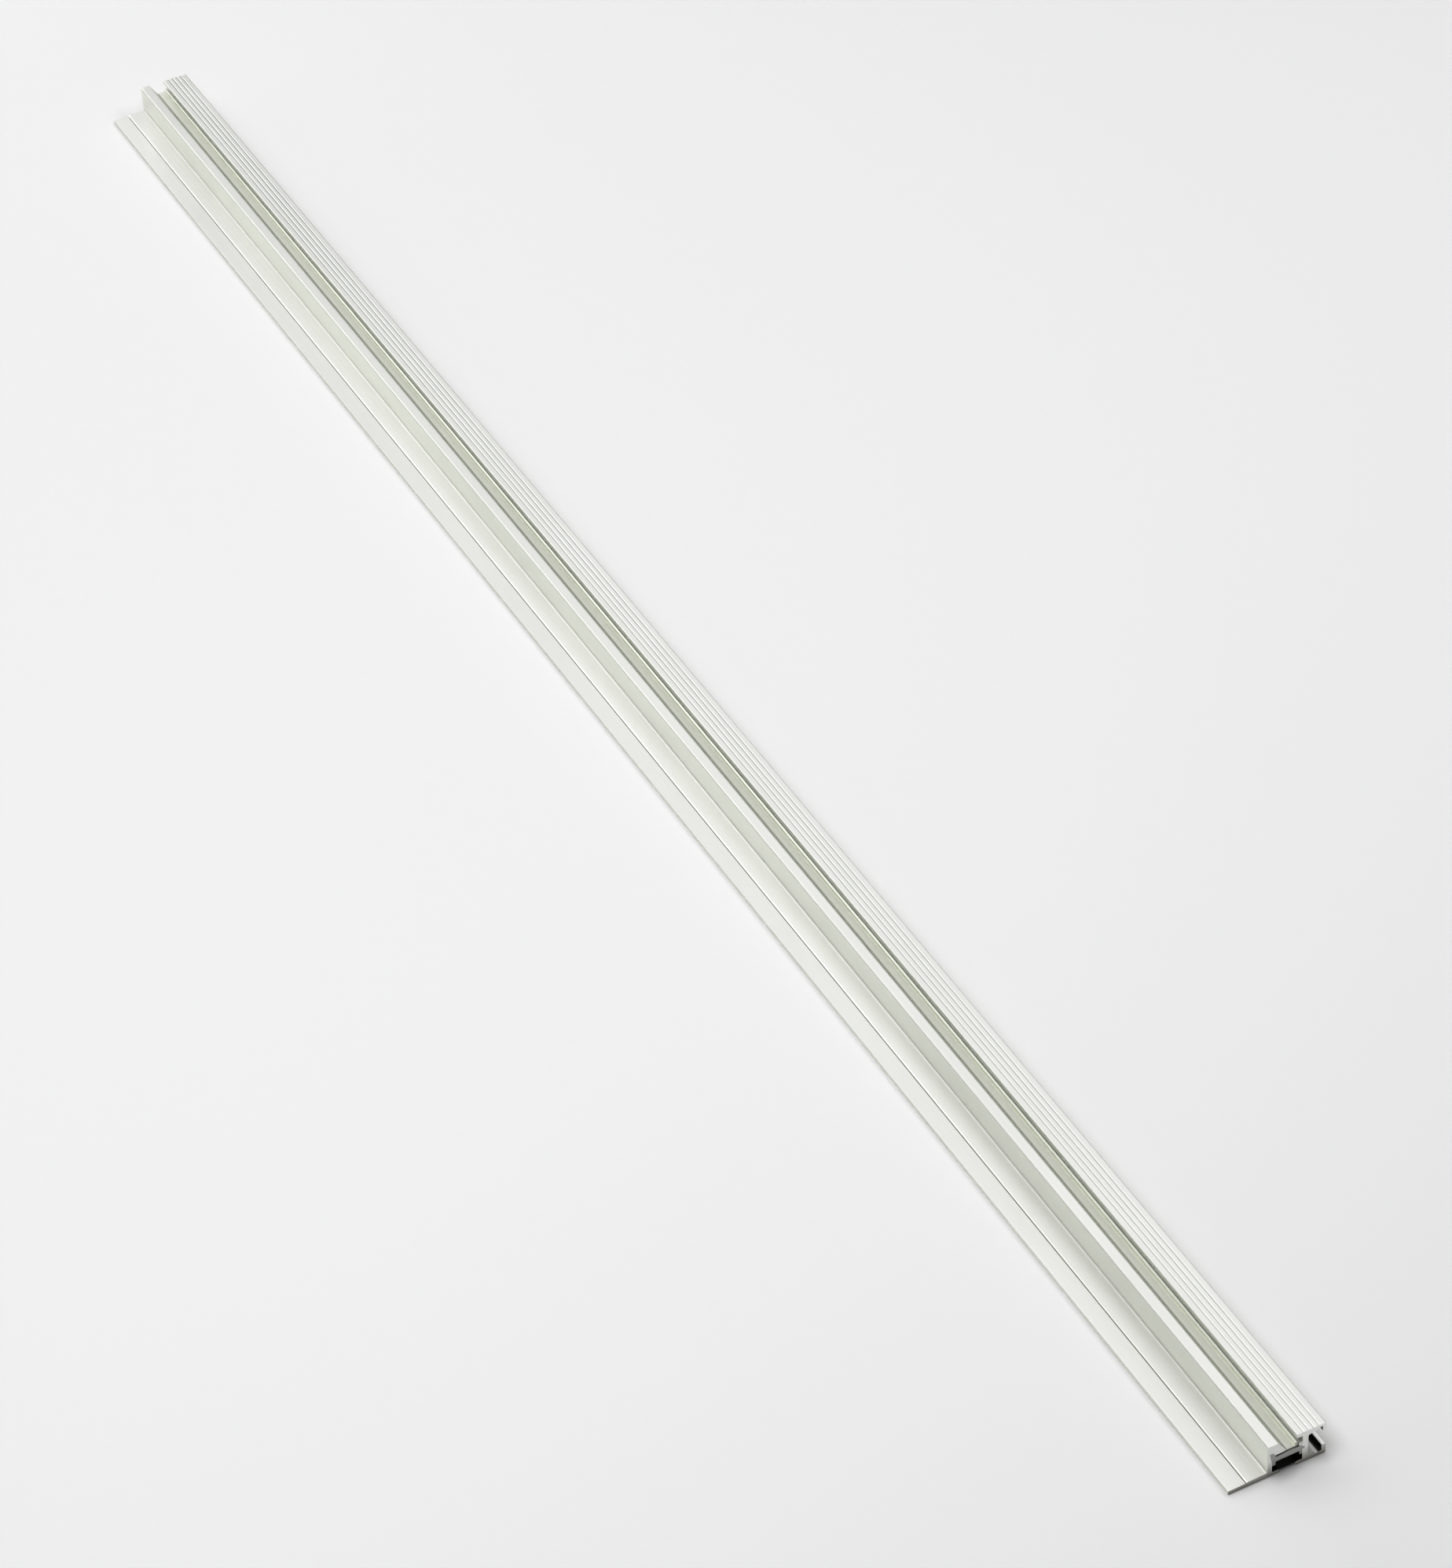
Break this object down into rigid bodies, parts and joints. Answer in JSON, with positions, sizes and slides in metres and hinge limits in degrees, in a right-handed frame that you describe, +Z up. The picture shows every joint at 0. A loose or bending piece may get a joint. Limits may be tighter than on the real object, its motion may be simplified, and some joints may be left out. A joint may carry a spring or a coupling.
{
  "type": "t square straightedge rail",
  "caption": "Long aluminium straightedge rail with a thin ruling flange, an upright fence, a ribbed deck and slots above, below and at the side.",
  "frame": {"origin": "middle of the bottom face, half way along the length", "axes": "+X across the section from the thin ruling edge to the ribbed side, +Y along the length, +Z up"},
  "size_m": [0.049, 1.27, 0.0183],
  "materials": {
    "fence_rail": "satin clear anodised",
    "edge_strip": "satin clear anodised",
    "web_insert": "mill",
    "channel_rail": "satin clear anodised",
    "groove_liner": "satin"
  },
  "bodies": {
    "rail": {"fence_rail": "fence_rail", "edge_strip": "edge_strip", "web_insert": "web_insert", "channel_rail": "channel_rail"},
    "liner": {"groove_liner": "groove_liner"}
  },
  "joints": [
    {"name": "liner_slide", "type": "slide", "parent": "rail", "child": "liner", "axis": [0, -1, 0], "range_m": [0, 1.2]}
  ]
}
